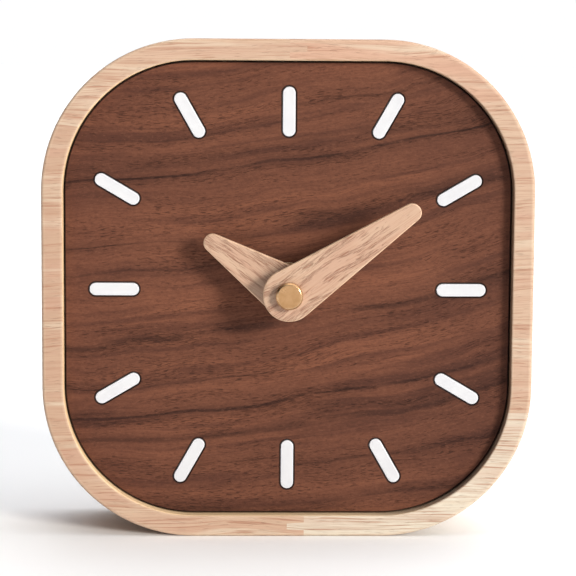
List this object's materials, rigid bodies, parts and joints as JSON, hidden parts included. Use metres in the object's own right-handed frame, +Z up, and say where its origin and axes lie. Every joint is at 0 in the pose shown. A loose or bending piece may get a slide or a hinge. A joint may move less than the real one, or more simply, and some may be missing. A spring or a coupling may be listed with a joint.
{
  "type": "wooden desk clock",
  "caption": "Free-standing desk clock: a rounded square wooden ring around a walnut dial with inlaid white bars, tapered wooden hands and a quartz movement behind.",
  "frame": {"origin": "middle of the case's flat bottom face, at half of the case's depth", "axes": "+Z up, +Y to the back, +X to the right as seen from the front"},
  "size_m": [0.12, 0.0442, 0.122],
  "materials": {
    "case_wood": "satin oiled light hardwood, grain along the width",
    "walnut": "matt oiled walnut with open pores",
    "plywood": "raw thin plywood",
    "hand_wood": "satin light wood with short dark pores",
    "white_acrylic": "white, lightly polished",
    "brass": "turned and lightly brushed",
    "steel": "turned or stamped",
    "nickel": "nickel plated",
    "magnet": "sintered, matt",
    "copper": "enamelled copper wire",
    "black_plastic": "moulded with a fine spark texture",
    "white_plastic": "moulded acetal",
    "rubber": "matt",
    "circuit_board": "solder mask",
    "resin": "cast resin",
    "battery_sleeve": "plain shrink sleeve"
  },
  "bodies": {
    "case": {"case_ring": "case_wood", "dial_panel": "walnut", "dial_backer": "plywood", "marker_01": "white_acrylic", "marker_02": "white_acrylic", "marker_03": "white_acrylic", "marker_04": "white_acrylic", "marker_05": "white_acrylic", "marker_06": "white_acrylic", "marker_07": "white_acrylic", "marker_08": "white_acrylic", "marker_09": "white_acrylic", "marker_10": "white_acrylic", "marker_11": "white_acrylic", "marker_12": "white_acrylic", "threaded_bushing": "brass", "hex_nut": "brass", "brass_washer": "brass", "rubber_washer": "rubber", "movement_front_plate": "black_plastic", "movement_rear_cover": "black_plastic", "middle_plate": "white_plastic", "stator": "steel", "coil_core": "steel", "coil_bobbin": "black_plastic", "coil_winding": "copper", "circuit_board": "circuit_board", "ic_cover": "resin", "quartz_crystal": "nickel", "battery_contact_positive": "nickel", "battery_contact_negative": "nickel"},
    "minute": {"minute_arbor": "steel", "minute_hand": "hand_wood", "minute_hand_bush": "brass", "hand_cap": "brass", "clutch_washer": "brass"},
    "hour": {"hour_wheel": "white_plastic", "hour_hand": "hand_wood", "hour_hand_bush": "brass"},
    "minute_wheel": {"minute_wheel": "white_plastic"},
    "setting": {"setting_arbor": "white_plastic", "setting_knob": "black_plastic"},
    "centre_wheel": {"centre_wheel": "white_plastic"},
    "third_wheel": {"third_wheel": "white_plastic"},
    "second_wheel": {"second_wheel": "white_plastic"},
    "fifth_wheel": {"fifth_wheel": "white_plastic"},
    "rotor": {"rotor_pinion": "white_plastic", "rotor_magnet": "magnet"},
    "battery": {"battery": "battery_sleeve"}
  },
  "joints": [
    {"name": "minute_spin", "type": "hinge", "parent": "case", "child": "minute", "pos_m": [0, 0, 0.061], "axis": [0, 1, 0], "continuous": true},
    {"name": "hour_spin", "type": "hinge", "parent": "case", "child": "hour", "pos_m": [0, 0, 0.061], "axis": [0, 1, 0], "continuous": true},
    {"name": "minute_wheel_spin", "type": "hinge", "parent": "case", "child": "minute_wheel", "pos_m": [0.004, 0, 0.06793], "axis": [0, 1, 0], "continuous": true},
    {"name": "setting_spin", "type": "hinge", "parent": "case", "child": "setting", "pos_m": [0.01189, 0, 0.0708], "axis": [0, 1, 0], "continuous": true},
    {"name": "rotor_spin", "type": "hinge", "parent": "case", "child": "rotor", "pos_m": [0.0082, 0, 0.05528], "axis": [0, 1, 0], "continuous": true},
    {"name": "fifth_wheel_spin", "type": "hinge", "parent": "case", "child": "fifth_wheel", "pos_m": [0.00612, 0, 0.061], "axis": [0, 1, 0], "continuous": true},
    {"name": "second_wheel_spin", "type": "hinge", "parent": "case", "child": "second_wheel", "pos_m": [0, 0, 0.061], "axis": [0, 1, 0], "continuous": true},
    {"name": "third_wheel_spin", "type": "hinge", "parent": "case", "child": "third_wheel", "pos_m": [-0.00739, 0, 0.061], "axis": [0, 1, 0], "continuous": true},
    {"name": "centre_wheel_spin", "type": "hinge", "parent": "case", "child": "centre_wheel", "pos_m": [0, 0, 0.061], "axis": [0, 1, 0], "continuous": true},
    {"name": "battery_slide", "type": "slide", "parent": "case", "child": "battery", "axis": [0, 1, 0], "range_m": [0, 0.016]}
  ],
  "couplings": [
    {"joint": "minute_wheel_spin", "follows": "minute_spin", "ratio": -0.33333},
    {"joint": "hour_spin", "follows": "minute_spin", "ratio": 0.083333},
    {"joint": "setting_spin", "follows": "minute_spin", "ratio": 0.83333},
    {"joint": "fifth_wheel_spin", "follows": "rotor_spin", "ratio": -0.16667},
    {"joint": "second_wheel_spin", "follows": "rotor_spin", "ratio": 0.033333},
    {"joint": "third_wheel_spin", "follows": "rotor_spin", "ratio": -0.0041667},
    {"joint": "centre_wheel_spin", "follows": "rotor_spin", "ratio": 0.00055556}
  ]
}
